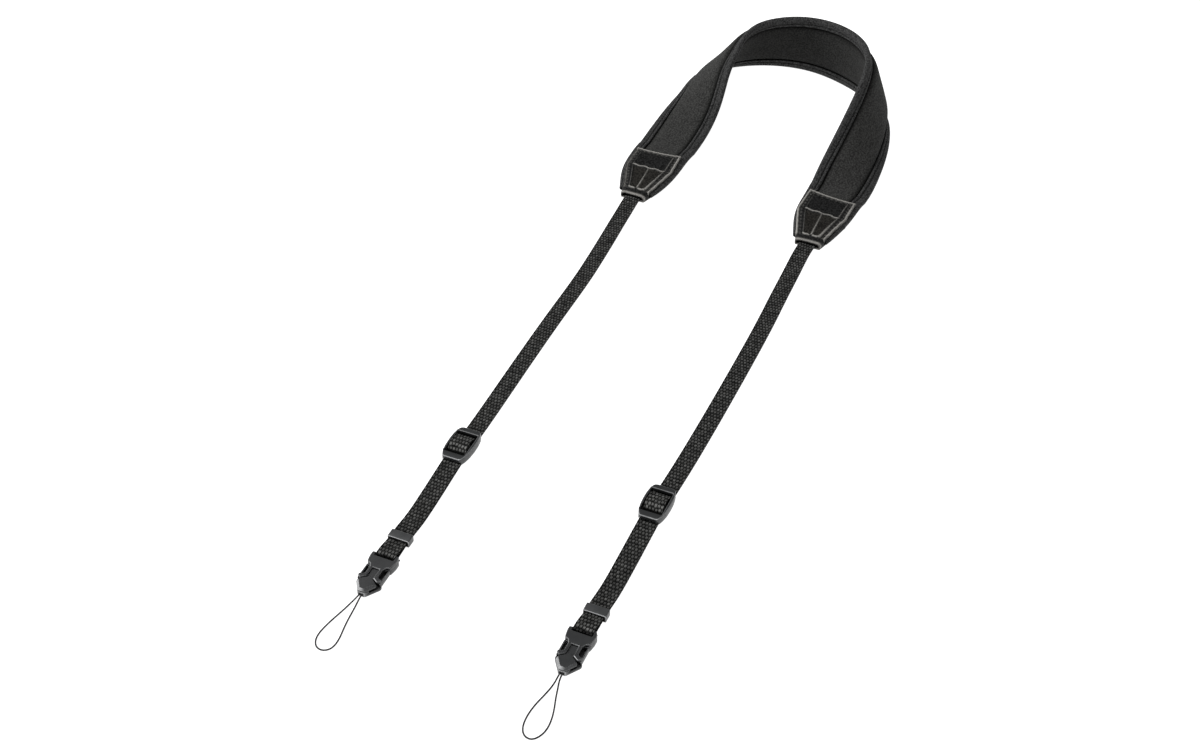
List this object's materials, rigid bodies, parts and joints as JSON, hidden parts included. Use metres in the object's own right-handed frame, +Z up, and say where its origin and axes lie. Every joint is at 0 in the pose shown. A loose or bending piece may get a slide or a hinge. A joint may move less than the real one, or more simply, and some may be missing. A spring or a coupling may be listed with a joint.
{
  "type": "camera neck strap",
  "caption": "Padded camera neck strap lying on a surface, with narrow adjustable webbing, quick-release buckles and thin cord loops for a camera's lugs.",
  "frame": {"origin": "on the surface that the strap lies on, under the middle of the box round it without its cord loops", "axes": "+Y along the strap from the cord loops to the neck band, +Z up from the surface, +X to the right seen from above with the neck band at the top"},
  "size_m": [0.1638, 0.6251, 0.0459],
  "materials": {
    "pad": "ribbed stretch fabric over neoprene foam, matt black",
    "binding": "smooth knitted binding tape, matt black",
    "leather": "black coated split leather, slightly glossy, rubbed light at its edges",
    "webbing": "coarse woven polyester webbing, black",
    "plastic": "moulded acetal, dark grey, satin",
    "cord": "thin braided nylon cord, dark grey"
  },
  "bodies": {
    "root": {"neck_pad": "pad", "edge_binding_outer": "binding", "edge_binding_inner": "binding", "end_patch_left": "leather", "end_patch_right": "leather", "patch_back_left": "leather", "patch_back_right": "leather", "webbing_left": "webbing", "webbing_right": "webbing", "slider_left": "plastic", "slider_right": "plastic", "keeper_left": "plastic", "keeper_right": "plastic", "buckle_socket_left": "plastic", "buckle_socket_right": "plastic", "buckle_insert_left": "plastic", "buckle_insert_right": "plastic", "cord_loop_left": "cord", "cord_loop_right": "cord"}
  },
  "joints": []
}
